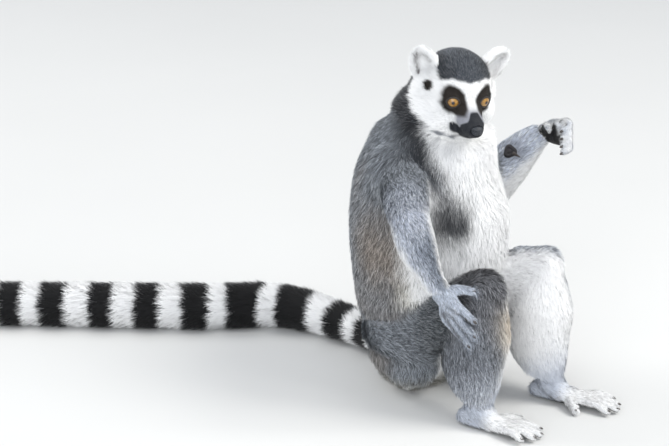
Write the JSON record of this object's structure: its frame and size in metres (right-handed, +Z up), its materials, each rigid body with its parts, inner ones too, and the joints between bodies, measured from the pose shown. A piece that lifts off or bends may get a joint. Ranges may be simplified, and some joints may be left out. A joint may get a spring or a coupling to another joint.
{
  "type": "ring-tailed lemur",
  "caption": "Life-size ring-tailed lemur sitting upright with knees raised, right hand on a knee, left forearm lifted and ringed tail laid out behind.",
  "frame": {"origin": "middle of the rump's flat on the ground", "axes": "-Y the way the body faces, +X the animal's left, +Z up"},
  "size_m": [0.4551, 0.7774, 0.3539],
  "materials": {
    "coat": "dense soft fur, grizzled grey above, white below, black-and-white ringed tail",
    "eye": "wet amber eye with a small dark pupil",
    "nose_leather": "bare moist black skin"
  },
  "bodies": {
    "root": {"belly": "coat", "chest": "coat", "ear_left": "coat", "ear_right": "coat", "eye_left": "eye", "eye_right": "eye", "foot_left": "coat", "foot_right": "coat", "forearm_left": "coat", "forearm_right": "coat", "hand_left": "coat", "hand_right": "coat", "head": "coat", "neck": "coat", "nose": "nose_leather", "shank_left": "coat", "shank_right": "coat", "tail_1": "coat", "tail_2": "coat", "tail_3": "coat", "tail_4": "coat", "tail_5": "coat", "tail_6": "coat", "thigh_left": "coat", "thigh_right": "coat", "upper_arm_left": "coat", "upper_arm_right": "coat"}
  },
  "joints": []
}
